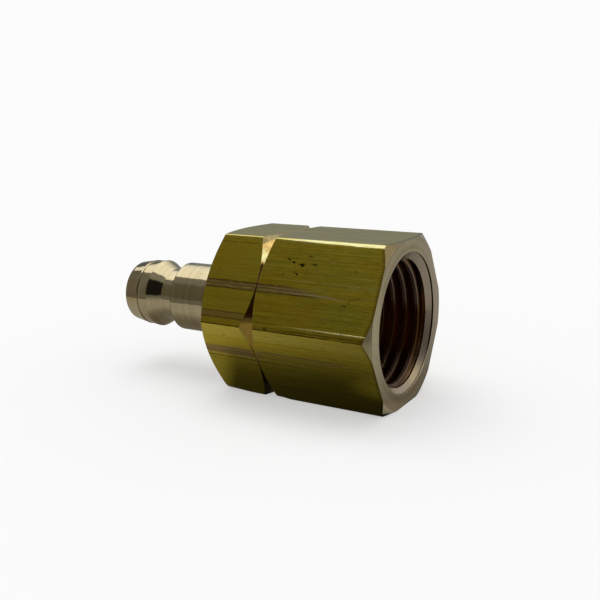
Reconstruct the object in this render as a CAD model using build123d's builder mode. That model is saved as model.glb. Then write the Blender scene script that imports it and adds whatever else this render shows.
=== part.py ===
"""Quick-connect nipple adapter, turned in one piece from hexagonal brass bar.

The axis lies along X.  The female thread opens towards +X and the
quick-connect nipple points towards -X.  The hexagon lies on one of its
flats, on the plane z = 0, and the origin is under the middle of the length.
All lengths are in millimetres.
"""
from build123d import *
from math import radians, sqrt, tan
import os

# ---------------------------------------------------------------- dimensions
# Bar
ACROSS_FLATS = 19.0          # wrench size of the hexagon
CORNER_RADIUS = 0.35         # drawn bar has slightly rounded corners
OVERALL_LENGTH = 38.2        # threaded face to nipple tip

# Everything below is a distance behind the threaded face, or a diameter.
# Hexagon
HEX_LENGTH = 21.9            # threaded face to the rear face of the hexagon
FRONT_CHAMFER_DIA = 19.85    # circle where the front corner chamfer starts
FRONT_CHAMFER_SLOPE = 0.62   # axial run of the front chamfer per radial rise
REAR_FACE_DIA = 18.0         # circle where the rear corner chamfer starts
REAR_CHAMFER_SLOPE = 0.56    # axial run of the rear chamfer per radial rise

# V groove turned round the hexagon: the mark of a left-hand thread
GROOVE_MIDDLE = 14.75        # middle of the groove
GROOVE_BOTTOM_DIA = 18.88    # diameter at the bottom of the groove
GROOVE_FLANK_SLOPE = 0.55    # axial run of each flank per radial rise
GROOVE_BOTTOM_WIDTH = 0.10   # small land at the bottom

# Female thread, left-hand, 16 mm by 1.5 mm pitch, held as its minor bore
THREAD_MAJOR_DIA = 16.0
THREAD_PITCH = 1.5
THREAD_MINOR_DIA = 14.38     # actual wall of the bore
THREAD_DEPTH = 12.5          # from the threaded face to the end of the bore wall
MOUTH_DIA = 16.1             # countersink at the face
MOUTH_LAND = 0.22            # short cylinder before the cone of the countersink
MOUTH_CONE_SLOPE = 0.785     # axial run of the cone per radial fall
SEAT_CONE_SLOPE = tan(radians(31.0))   # 118 degree drill point at the bottom

# Through bore of the nipple
BORE_DIA = 5.0
TIP_BORE_CHAMFER = 0.45      # inside chamfer at the tip

# Quick-connect nipple
SHANK_DIA = 8.75             # plain shank next to the hexagon
SHOULDER = 30.35             # end of the shank, locking shoulder
GROOVE_DIA = 6.7             # locking groove for the coupling's balls
LOCK_CONE_FOOT = 32.55       # where the locking cone leaves the groove
COLLAR = 34.25               # crest of the collar
COLLAR_DIA = SHANK_DIA       # the collar follows the shank into the coupling
NOSE_STEP = 35.8             # fine turned line between collar and nose
NOSE_STEP_DIA = 8.38         # collar side of the line
NOSE_DIA = 8.56              # nose side of the line
TIP_DIA = 7.8                # nose at the tip, before its edge break
TIP_EDGE = 0.25              # edge break at the tip
ROOT_FILLET = 0.25           # shank to hexagon
EDGE_RADIUS = 0.12           # break on the shoulder and the collar

# ------------------------------------------------------------------- profile
FACE_X = OVERALL_LENGTH / 2
AXIS_Z = ACROSS_FLATS / 2
CORNER_R = ACROSS_FLATS / sqrt(3)            # sharp corner of the hexagon
BLANK_R = CORNER_R + 1.0                     # clear of the bar


def at(behind, diameter):
    """A profile point: distance behind the threaded face, and diameter."""
    return (FACE_X - behind, diameter / 2)


front_r = FRONT_CHAMFER_DIA / 2
rear_r = REAR_FACE_DIA / 2
groove_r = GROOVE_BOTTOM_DIA / 2
groove_half = GROOVE_BOTTOM_WIDTH / 2
groove_rise = (BLANK_R - groove_r) * GROOVE_FLANK_SLOPE

outline = [
    at(0, 0),
    at(0, FRONT_CHAMFER_DIA),
    at((BLANK_R - front_r) * FRONT_CHAMFER_SLOPE, 2 * BLANK_R),
    at(GROOVE_MIDDLE - groove_half - groove_rise, 2 * BLANK_R),
    at(GROOVE_MIDDLE - groove_half, GROOVE_BOTTOM_DIA),
    at(GROOVE_MIDDLE + groove_half, GROOVE_BOTTOM_DIA),
    at(GROOVE_MIDDLE + groove_half + groove_rise, 2 * BLANK_R),
    at(HEX_LENGTH - (BLANK_R - rear_r) * REAR_CHAMFER_SLOPE, 2 * BLANK_R),
    at(HEX_LENGTH, REAR_FACE_DIA),
    at(HEX_LENGTH, SHANK_DIA + 2 * ROOT_FILLET),
    at(HEX_LENGTH + ROOT_FILLET, SHANK_DIA),
    at(SHOULDER, SHANK_DIA),
    at(SHOULDER, GROOVE_DIA),
    at(LOCK_CONE_FOOT, GROOVE_DIA),
    at(COLLAR, COLLAR_DIA),
    at(NOSE_STEP, NOSE_STEP_DIA),
    at(NOSE_STEP, NOSE_DIA),
    at(OVERALL_LENGTH - TIP_EDGE, TIP_DIA),
    at(OVERALL_LENGTH, TIP_DIA - 2 * TIP_EDGE),
    at(OVERALL_LENGTH, 0),
]

# The passage right through: countersink, thread wall, seat and bore
cone_end = MOUTH_LAND + (MOUTH_DIA - THREAD_MINOR_DIA) / 2 * MOUTH_CONE_SLOPE
seat_end = THREAD_DEPTH + (THREAD_MINOR_DIA - BORE_DIA) / 2 * SEAT_CONE_SLOPE
passage = [
    at(-1, 0),
    at(-1, MOUTH_DIA),
    at(MOUTH_LAND, MOUTH_DIA),
    at(cone_end, THREAD_MINOR_DIA),
    at(THREAD_DEPTH, THREAD_MINOR_DIA),
    at(seat_end, BORE_DIA),
    at(OVERALL_LENGTH - TIP_BORE_CHAMFER, BORE_DIA),
    at(OVERALL_LENGTH, BORE_DIA + 2 * TIP_BORE_CHAMFER),
    at(OVERALL_LENGTH + 1, BORE_DIA + 2 * TIP_BORE_CHAMFER),
    at(OVERALL_LENGTH + 1, 0),
]


def lifted(points):
    """The profile in the XZ plane, measured from the axis of the bar."""
    return [(x, r + AXIS_Z) for x, r in points]


# ---------------------------------------------------------------------- body
bar_end = Plane(origin=(-OVERALL_LENGTH / 2, 0, AXIS_Z), x_dir=(0, 1, 0), z_dir=(1, 0, 0))
spin_axis = Axis((0, 0, AXIS_Z), (1, 0, 0))

with BuildPart() as adapter_body:
    # drawn hexagonal bar, flats up and down
    with BuildSketch(bar_end) as bar_section:
        RegularPolygon(radius=CORNER_R, side_count=6)
        fillet(bar_section.vertices(), CORNER_RADIUS)
    extrude(amount=OVERALL_LENGTH)

    # everything that the lathe cuts on the outside
    with BuildSketch(Plane.XZ):
        with BuildLine():
            Polyline(*lifted(outline), close=True)
        make_face()
    revolve(axis=spin_axis, revolution_arc=360, mode=Mode.INTERSECT)

    # the passage through the middle
    with BuildSketch(Plane.XZ):
        with BuildLine():
            Polyline(*lifted(passage), close=True)
        make_face()
    revolve(axis=spin_axis, revolution_arc=360, mode=Mode.SUBTRACT)

    # break the sharp edges of the shoulder, the collar and the tip's mouth
    def rings(x, diameter):
        return (
            adapter_body.edges()
            .filter_by(GeomType.CIRCLE)
            .filter_by(lambda e: abs(e.center(CenterOf.BOUNDING_BOX).X - x) < 0.01)
            .filter_by(lambda e: abs(e.radius - diameter / 2) < 0.01)
        )

    fillet(rings(FACE_X - SHOULDER, SHANK_DIA), EDGE_RADIUS)
    fillet(rings(FACE_X - COLLAR, COLLAR_DIA), EDGE_RADIUS)

adapter_body.part.label = "adapter_body"

# ------------------------------------------------------------------- results
os.makedirs("parts", exist_ok=True)
export_step(adapter_body.part, "parts/adapter_body.step")

box = adapter_body.part.bounding_box()
volume = adapter_body.part.volume
print("solids", len(adapter_body.part.solids()), "valid", adapter_body.part.is_valid)
print("box", [round(v, 3) for v in (box.min.X, box.min.Y, box.min.Z)],
      [round(v, 3) for v in (box.max.X, box.max.Y, box.max.Z)])
print("volume mm3", round(volume, 1), "mass g at 8.45 g/cm3", round(volume * 8.45e-3, 1))
print("thread bore wall from x", round(FACE_X - THREAD_DEPTH, 3), "to", round(FACE_X - cone_end, 3))
print("seat ends at x", round(FACE_X - seat_end, 3))
print("axis height", AXIS_Z)
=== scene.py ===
import math

import bpy
import numpy as np
from mathutils import Matrix, Vector


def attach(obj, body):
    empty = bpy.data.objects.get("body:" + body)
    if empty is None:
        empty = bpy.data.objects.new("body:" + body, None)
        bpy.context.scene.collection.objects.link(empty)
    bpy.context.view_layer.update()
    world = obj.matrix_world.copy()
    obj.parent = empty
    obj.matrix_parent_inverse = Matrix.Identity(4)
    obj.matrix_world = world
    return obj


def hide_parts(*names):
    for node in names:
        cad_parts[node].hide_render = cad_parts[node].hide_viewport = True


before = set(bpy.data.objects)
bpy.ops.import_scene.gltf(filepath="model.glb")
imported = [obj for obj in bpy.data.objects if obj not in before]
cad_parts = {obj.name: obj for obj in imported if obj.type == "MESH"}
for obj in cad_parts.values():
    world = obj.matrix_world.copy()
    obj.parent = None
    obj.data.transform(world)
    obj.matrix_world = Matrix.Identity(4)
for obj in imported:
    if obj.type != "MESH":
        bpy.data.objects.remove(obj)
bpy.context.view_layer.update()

# ---------------------------------------------------------------- the part
# Millimetres here, metres in Blender.  s is the distance behind the threaded
# face, so x = 19.1 - s; th is the angle about the axis from +Y towards +Z.

MM = 0.001
HALF = 19.1
AXIS_Z = 9.5
FLAT = 9.5                       # axis to a flat
SIDE = 19.0 / math.sqrt(3)       # width of one flat, corner to corner

FACE_R = 9.925                   # front chamfer starts here
FACE_SLOPE = 0.62
HEX_END = 21.9
REAR_R = 9.0
REAR_SLOPE = 0.56
GROOVE_S = 14.75
GROOVE_R = 9.44
GROOVE_SLOPE = 0.55
GROOVE_HALF = 0.05

PITCH = 1.5
MAJOR = 8.0
MINOR = 7.19
CREST_S = 1.85                   # middle of a crest at th = 0
THREAD_END = 12.5
MOUTH_R = 8.05
MOUTH_LAND = 0.22
MOUTH_SLOPE = 0.785
SEAT_END = 15.318
BORE_R = 2.5


def smooth(a, b, x):
    t = np.clip((x - a) / (b - a), 0.0, 1.0)
    return t * t * (3 - 2 * t)


def columns():
    """The angles of the mesh's columns: close together at the six corners and at the raised strip."""
    near = [0.0, 0.16, 0.32, 0.48, 0.64, 0.82, 1.02, 1.28]
    wide = [0.0, 0.26, 0.52, 0.78, 1.04, 1.30, 1.58, 1.88, 2.22, 2.62, 3.05]
    strip = [150 + math.degrees(math.atan(t / FLAT)) for t in (4.56, 4.62, 4.65, 4.68, 4.71, 4.74, 4.80)]
    out = []
    for k in range(6):
        first, last = (wide if k == 2 else near), (wide if k == 1 else near)
        here = [60 * k + a for a in first]
        here += [60 * k + a for a in np.linspace(first[-1], 60 - last[-1], 27)[1:-1]]
        here += [60 * k + 60 - a for a in reversed(last) if a > 0]
        if k == 2:
            here = [a for a in here if not any(abs(a - b) < 0.30 for b in strip)] + strip
        out += sorted(here)
    return np.radians(np.array(out + [360.0]))


TH = columns()
TH[-1] = 2 * math.pi
N = len(TH)
TO_CORNER = (np.degrees(TH) + 30) % 60 - 30        # degrees from the nearest corner
CORNER = np.round(np.degrees(TH) / 60).astype(int) % 6
ON_FLAT = np.minimum((np.degrees(TH) // 60).astype(int), 5)
ACROSS = FLAT * np.tan(TH - np.radians(60 * ON_FLAT + 30))   # from the middle of the flat
AROUND = SIDE * ON_FLAT + SIDE / 2 + ACROSS


def corner_radius(s):
    """The corners are drawn, not cut: each has its own small radius, and one eases off along the bar."""
    s = np.broadcast_to(s, TH.shape)
    r = np.array([0.35, 0.30, 0.34, 0.35, 0.38, 0.32])[CORNER]
    easing = 1.02 - 0.22 * smooth(2.0, 7.0, s) - 0.34 * smooth(7.0, 11.5, s) - 0.24 * smooth(11.5, 15.5, s)
    easing = easing * (1 + 0.09 * np.sin(2.9 * s + 0.6) * np.sin(1.3 * s) + 0.06 * np.sin(5.3 * s))
    r = np.where(CORNER == 4, r + 1.20 * smooth(16.5, 21.5, s) + 0.80 * smooth(11.8, 13.6, s) * (1 - smooth(14.2, 15.0, s)), r)
    return np.where(CORNER == 2, easing, r)


def hexagon(s):
    """Radius of the drawn bar at each column."""
    rho = corner_radius(s)
    centre = (FLAT - rho) / math.cos(math.pi / 6)
    turn = np.abs(np.radians(TO_CORNER))
    tangent = math.pi / 6 - np.arctan((FLAT - rho) * math.tan(math.pi / 6) / FLAT)
    flat = FLAT / np.cos(math.pi / 6 - turn)
    inside = np.clip(rho**2 - (centre * np.sin(turn)) ** 2, 0, None)
    rounded = centre * np.cos(turn) + np.sqrt(inside)
    r = np.where(turn < tangent, rounded, flat)
    # a low raised strip runs along the lower edge of the upper near flat
    s = np.broadcast_to(s, TH.shape)
    strip = smooth(4.63, 4.73, ACROSS) * (1 - 0.45 * smooth(4.0, 7.5, s)) * (1 - smooth(8.5, 12.6, s)) * (ON_FLAT == 2)
    strip = strip * (1 - smooth(5.15, 5.48, ACROSS))
    # the flats are very slightly hollow and wavy, as a drawn bar's are
    wave = 0.004 * np.sin(0.9 * ACROSS + 1.7 * ON_FLAT) * np.cos(0.21 * s + ON_FLAT)
    hollow = -0.006 * (1 - (ACROSS / 5.48) ** 2) + wave * (1 - (ACROSS / 5.48) ** 2)
    return r + 0.030 * strip + np.where(turn < tangent, 0.0, hollow)


def thread(s, th):
    """Radius of the left-hand thread's surface: the crest is the bore's smaller diameter."""
    a = np.abs((((s - CREST_S) / PITCH - th / (2 * math.pi)) + 0.5) % 1.0 - 0.5) * PITCH
    depth = np.clip((a - PITCH / 8) / (PITCH * 7 / 16 - PITCH / 8), 0.0, 1.0)
    soft = depth - 0.035 * np.sin(2 * math.pi * depth) * (depth > 0) * (depth < 1)
    fade = 1 - smooth(THREAD_END - 1.6, THREAD_END - 0.25, s)
    fade = fade * (0.25 + 0.75 * smooth(0.4, 1.6, s))
    return MINOR + (MAJOR - MINOR) * soft * fade


def mouth(s):
    return MOUTH_R - (s - MOUTH_LAND) / MOUTH_SLOPE


rows = []          # (s, r, finish of the faces up to the next row)
DRAWN, TURNED, INNER = 0, 1, 2


def row(s, r, finish):
    rows.append((np.broadcast_to(s, (N,)).astype(float), np.broadcast_to(r, (N,)).astype(float), finish))


def arc(c_s, c_r, rad, start, end, steps, finish):
    """A small fillet in the profile; angles in degrees, 0 along +s, 90 outward."""
    for a in np.radians(np.linspace(start, end, steps)):
        row(c_s + rad * math.cos(a), c_r + rad * math.sin(a), finish)


# front face, out from the mouth
EASE = 0.035
h0 = hexagon(0.0)
face_r = np.minimum(h0, FACE_R)
row(EASE, MOUTH_R, TURNED)
row(EASE * 0.3, MOUTH_R + EASE * 0.3, TURNED)
row(0.0, MOUTH_R + EASE, TURNED)
for t in (0.12, 0.3, 0.5, 0.7, 0.88, 0.97):
    row(0.0, MOUTH_R + EASE + (face_r - 0.03 - MOUTH_R - EASE) * t, TURNED)
row(0.0, face_r - 0.012, TURNED)
cut = (h0 - face_r) * FACE_SLOPE
row(0.012 + cut * 0.03, face_r + (h0 - face_r) * 0.03, TURNED)
for t in (0.25, 0.5, 0.75, 0.96):
    row(0.012 + cut * t, face_r + (h0 - face_r) * t, TURNED)
edge = 0.012 + cut
row(edge, h0 - 0.003, DRAWN)

# the hexagon to the groove
h_groove = hexagon(GROOVE_S - 0.8)
front_lip = GROOVE_S - GROOVE_HALF - (h_groove - GROOVE_R) * GROOVE_SLOPE
row(edge + 0.03, hexagon(edge + 0.03), DRAWN)
row(edge + 0.08, hexagon(edge + 0.08), DRAWN)
for t in np.linspace(0.0, 1.0, 34)[1:-1]:
    s = edge + 0.08 + (front_lip - 0.07 - edge - 0.08) * t
    row(s, hexagon(s), DRAWN)
row(front_lip - 0.07, h_groove, DRAWN)
row(front_lip - 0.02, h_groove, DRAWN)
row(front_lip, h_groove - 0.008, TURNED)
for t in (0.06, 0.35, 0.65, 0.95):
    row(front_lip + (GROOVE_S - GROOVE_HALF - front_lip) * t,
        h_groove - 0.008 + (GROOVE_R - h_groove + 0.008) * t, TURNED)
row(GROOVE_S - GROOVE_HALF, GROOVE_R, TURNED)
row(GROOVE_S + GROOVE_HALF, GROOVE_R, TURNED)
h_groove = hexagon(GROOVE_S + 0.8)
rear_lip = GROOVE_S + GROOVE_HALF + (h_groove - GROOVE_R) * GROOVE_SLOPE
for t in (0.05, 0.35, 0.65, 0.94):
    row(GROOVE_S + GROOVE_HALF + (rear_lip - GROOVE_S - GROOVE_HALF) * t,
        GROOVE_R + (h_groove - 0.008 - GROOVE_R) * t, TURNED)
row(rear_lip, h_groove - 0.008, DRAWN)

# the hexagon behind the groove, its rear chamfer and its rear face
h_rear = hexagon(HEX_END)
rear_edge = HEX_END - (h_rear - REAR_R) * REAR_SLOPE
row(rear_lip + 0.02, h_groove, DRAWN)
row(rear_lip + 0.07, h_groove, DRAWN)
for t in np.linspace(0.0, 1.0, 13)[1:-1]:
    s = rear_lip + 0.07 + (rear_edge - 0.07 - rear_lip - 0.07) * t
    row(s, hexagon(s), DRAWN)
row(rear_edge - 0.07, h_rear, DRAWN)
row(rear_edge - 0.02, h_rear, DRAWN)
row(rear_edge, h_rear - 0.01, TURNED)
for t in (0.08, 0.35, 0.65, 0.93):
    row(rear_edge + (HEX_END - rear_edge) * t, h_rear - 0.01 + (REAR_R - h_rear + 0.01) * t, TURNED)
row(HEX_END - 0.008, REAR_R - 0.01, TURNED)
row(HEX_END, REAR_R - 0.05, TURNED)
for r in (8.3, 7.5, 6.6, 5.8, 5.1, 4.7):
    row(HEX_END, r, TURNED)
SHANK = 4.375
arc(HEX_END + 0.25, SHANK + 0.25, 0.25, 180, 270, 6, TURNED)

# the shank, its shoulder and the locking groove
for s in (23.0, 24.5, 26.0, 27.5, 29.0, 30.0):
    row(s, SHANK, TURNED)
arc(30.35 - 0.07, SHANK - 0.07, 0.07, 90, 0, 5, TURNED)
NECK = 3.35
for r in (4.1, 3.9, 3.7, 3.5):
    row(30.35, r, TURNED)
arc(30.35 + 0.06, NECK + 0.06, 0.06, 180, 270, 4, TURNED)
for s in (30.8, 31.4, 32.0, 32.4):
    row(s, NECK, TURNED)
LEAN = math.atan2(SHANK - NECK, 34.25 - 32.55)
for t in (0.0, 0.05, 0.25, 0.5, 0.75, 0.9):
    row(32.55 + (34.25 - 32.55) * t, NECK + (SHANK - NECK) * t, TURNED)
TOP = SHANK - 0.12
c_s = 34.25 + 0.12 * math.tan(LEAN / 2) * 0.6
arc(c_s, TOP, 0.12, 90 + math.degrees(LEAN), 87, 6, TURNED)

# collar, fine step and nose
row(34.8, 4.31, TURNED)
row(35.3, 4.25, TURNED)
row(35.72, 4.20, TURNED)
row(35.79, 4.185, TURNED)
row(35.81, 4.185, TURNED)
row(35.84, 4.262, TURNED)
row(35.9, 4.272, TURNED)
for s in (36.2, 36.6, 37.0, 37.4, 37.75):
    row(s, 4.28 - (s - 35.8) / 2.15 * 0.38, TURNED)
row(37.92, 3.90, TURNED)
row(37.98, 3.872, TURNED)
row(38.08, 3.80, TURNED)
row(38.16, 3.71, TURNED)
row(38.2, 3.62, TURNED)
for r in (3.5, 3.3, 3.1, 2.97):
    row(38.2, r, TURNED)
row(38.18, 2.93, INNER)
row(38.0, 2.75, INNER)
row(37.77, 2.52, INNER)
row(37.7, BORE_R, INNER)

# back in along the bore, the seat and the thread
for s in np.linspace(36.5, SEAT_END + 0.3, 12):
    row(s, BORE_R, INNER)
row(SEAT_END, BORE_R, INNER)
for t in (0.03, 0.2, 0.4, 0.6, 0.8, 0.97):
    row(SEAT_END + (THREAD_END - SEAT_END) * t, BORE_R + (MINOR - BORE_R) * t, INNER)
row(THREAD_END, MINOR, INNER)

# The thread's rows follow the helix.  Where a row leaves the thread it runs
# along the ring at its end, and at the last column it meets the row one turn on.
IN_TURN = [-0.25, -0.1875, -0.12, 0.0, 0.12, 0.1875, 0.25, 0.36, 0.48, 0.60, 0.656, 0.70, 0.80, 0.844, 0.90, 1.02, 1.14]
TURN = len(IN_TURN)
first_helix = len(rows)
base = []
k = math.ceil((THREAD_END - CREST_S) / PITCH) + 1
while True:
    for a in reversed(IN_TURN):
        base.append(CREST_S + k * PITCH + a)
    k -= 1
    if base[-1] < MOUTH_LAND - PITCH - 0.3:
        break
for b in base:
    s = np.clip(b + PITCH * TH / (2 * math.pi), MOUTH_LAND, THREAD_END)
    row(s, np.maximum(thread(s, TH), mouth(s)), INNER)
last_helix = len(rows) - 1

# where the mouth's cone cuts the thread, the nearest row is moved onto the line of the cut
S = np.array([r[0] for r in rows])
R = np.array([r[1] for r in rows])
for j in range(N):
    for i in range(first_helix, last_helix):
        a, b = S[i, j], S[i + 1, j]
        if a - b < 1e-6 or b > 1.0:
            continue
        fa = mouth(a) - thread(a, TH[j])
        fb = mouth(b) - thread(b, TH[j])
        if fa * fb < 0:
            lo, hi = b, a
            for _ in range(30):
                mid = (lo + hi) / 2
                if (mouth(mid) - thread(mid, TH[j])) * fb > 0:
                    lo = mid
                else:
                    hi = mid
            at = (lo + hi) / 2
            n = i if a - at < at - b else i + 1
            if MOUTH_LAND + 1e-6 < S[n, j] < THREAD_END:
                S[n, j] = at
                R[n, j] = mouth(at)
row(MOUTH_LAND * 0.5, MOUTH_R, INNER)
row(EASE, MOUTH_R, TURNED)
S = np.vstack([S, [r[0] for r in rows[-2:]]])
R = np.vstack([R, [r[1] for r in rows[-2:]]])
COUNT = len(rows)

X = HALF - S
Y = R * np.cos(TH)
Z = AXIS_Z + R * np.sin(TH)
STEP = np.hypot(np.diff(S, axis=0), np.diff(R, axis=0))
ALONG = np.vstack([np.zeros(N), np.cumsum(STEP, axis=0)])

index = np.full((COUNT, N), -1)
points = []
for j in range(N - 1):
    for i in range(COUNT - 1):
        if i and STEP[i - 1, j] < 1e-7:
            index[i, j] = index[i - 1, j]
            continue
        index[i, j] = len(points)
        points.append((X[i, j] * MM, Y[i, j] * MM, Z[i, j] * MM))
    index[COUNT - 1, j] = index[0, j]
    if STEP[COUNT - 2, j] < 1e-7:
        raise ValueError("the mouth's last row is too short")
for i in range(COUNT):
    if first_helix <= i <= last_helix:
        index[i, N - 1] = index[max(i - TURN, first_helix - 1), 0]
    else:
        index[i, N - 1] = index[i, 0]

faces, finishes, maps = [], [], []
for i in range(COUNT - 1):
    for j in range(N - 1):
        ring = [(i, j), (i + 1, j), (i + 1, j + 1), (i, j + 1)]
        face, at = [], []
        for a, b in ring:
            v = int(index[a, b])
            if v in face:
                continue
            face.append(v)
            at.append((ALONG[a, b] / 100, AROUND[b] / 100 if b < N - 1 else 6 * SIDE / 100))
        if len(face) < 3:
            continue
        faces.append(face)
        finishes.append(rows[i][2])
        maps += at

mesh = bpy.data.meshes.new("adapter_brass")
mesh.from_pydata(points, [], faces)
lay = mesh.uv_layers.new(name="Lay")
lay.uv.foreach_set("vector", np.array(maps, dtype=np.float32).ravel())
mesh.polygons.foreach_set("material_index", np.array(finishes, dtype=np.int32))
mesh.polygons.foreach_set("use_smooth", np.ones(len(faces), dtype=bool))
mesh.update()
mesh.set_sharp_from_angle(angle=math.radians(24))
adapter = bpy.data.objects.new("adapter_brass", mesh)
bpy.context.scene.collection.objects.link(adapter)
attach(adapter, "root")
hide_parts("adapter_body")


# ---------------------------------------------------------------- materials

class Nodes:
    """Short hands for building a node tree."""

    def __init__(self, tree):
        self.tree = tree
        tree.nodes.clear()

    def add(self, kind, **inputs):
        node = self.tree.nodes.new(kind)
        for name, value in inputs.items():
            self.put(node, name.replace("_", " "), value)
        return node

    def put(self, node, name, value):
        socket = node.inputs[name] if not isinstance(name, int) else node.inputs[name]
        if isinstance(value, bpy.types.NodeSocket):
            self.tree.links.new(value, socket)
        else:
            socket.default_value = value

    def math(self, kind, a, b=None, c=None, clamp=False):
        node = self.tree.nodes.new("ShaderNodeMath")
        node.operation = kind
        node.use_clamp = clamp
        for i, value in enumerate((a, b, c)):
            if value is not None:
                self.put(node, i, value)
        return node.outputs[0]

    def noise(self, vector, scale=1.0, detail=2.0, rough=0.5, kind="3D", w=None):
        node = self.tree.nodes.new("ShaderNodeTexNoise")
        node.noise_dimensions = kind
        if kind == "1D":
            self.put(node, "W", w)
        else:
            self.put(node, "Vector", vector)
        node.inputs["Scale"].default_value = scale
        node.inputs["Detail"].default_value = detail
        node.inputs["Roughness"].default_value = rough
        return node.outputs["Fac"]

    def ramp(self, value, stops, kind="LINEAR"):
        node = self.tree.nodes.new("ShaderNodeValToRGB")
        node.color_ramp.interpolation = kind
        ramp = node.color_ramp
        while len(ramp.elements) < len(stops):
            ramp.elements.new(0.5)
        for e, (at, colour) in zip(ramp.elements, stops):
            e.position = at
            e.color = (colour, colour, colour, 1) if not isinstance(colour, tuple) else (*colour, 1)
        self.put(node, 0, value)
        return node.outputs[0]

    def step(self, value, a, b):
        """0 below a, 1 above b, eased (a may be above b)."""
        node = self.tree.nodes.new("ShaderNodeMapRange")
        node.interpolation_type = "SMOOTHSTEP"
        lo, hi, first, last = (a, b, 0.0, 1.0) if a < b else (b, a, 1.0, 0.0)
        self.put(node, 0, value)
        for i, v in enumerate((lo, hi, first, last)):
            node.inputs[i + 1].default_value = v
        return node.outputs[0]

    def mix(self, fac, a, b, kind="MIX"):
        node = self.tree.nodes.new("ShaderNodeMix")
        node.data_type = "RGBA"
        node.blend_type = kind
        node.clamp_factor = True
        for i, value in ((0, fac), (6, a), (7, b)):
            if isinstance(value, tuple):
                value = (*value, 1.0)
            self.put(node, i, value)
        return node.outputs[2]

    def combine(self, x, y, z):
        node = self.tree.nodes.new("ShaderNodeCombineXYZ")
        for i, value in enumerate((x, y, z)):
            self.put(node, i, value)
        return node.outputs[0]

    def separate(self, vector):
        node = self.tree.nodes.new("ShaderNodeSeparateXYZ")
        self.put(node, 0, vector)
        return node.outputs


def surface(n):
    """Millimetre coordinates on the part: behind the face, along the profile, around the hexagon."""
    where = n.tree.nodes.new("ShaderNodeTexCoord").outputs["Object"]
    x, y, z = n.separate(where)
    behind = n.math("MULTIPLY_ADD", x, -1000.0, HALF)
    uv = n.tree.nodes.new("ShaderNodeUVMap")
    uv.uv_map = "Lay"
    u, v, _ = n.separate(uv.outputs[0])
    return where, behind, n.math("MULTIPLY", u, 100.0), n.math("MULTIPLY", v, 100.0)


def band(n, across, lo, hi, soft):
    return n.math("MULTIPLY", n.step(across, lo - soft, lo + soft), n.step(across, hi + soft, hi - soft))


def shader(n, base, roughness, normal):
    bsdf = n.tree.nodes.new("ShaderNodeBsdfPrincipled")
    bsdf.inputs["Metallic"].default_value = 1.0
    n.put(bsdf, "Base Color", base)
    n.put(bsdf, "Roughness", roughness)
    n.put(bsdf, "Normal", normal)
    out = n.tree.nodes.new("ShaderNodeOutputMaterial")
    n.tree.links.new(bsdf.outputs[0], out.inputs[0])
    return bsdf


def bump(n, height, strength, distance, normal=None):
    node = n.tree.nodes.new("ShaderNodeBump")
    node.inputs["Strength"].default_value = strength
    node.inputs["Distance"].default_value = distance
    n.put(node, "Height", height)
    if normal is not None:
        n.put(node, "Normal", normal)
    return node.outputs[0]


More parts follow.
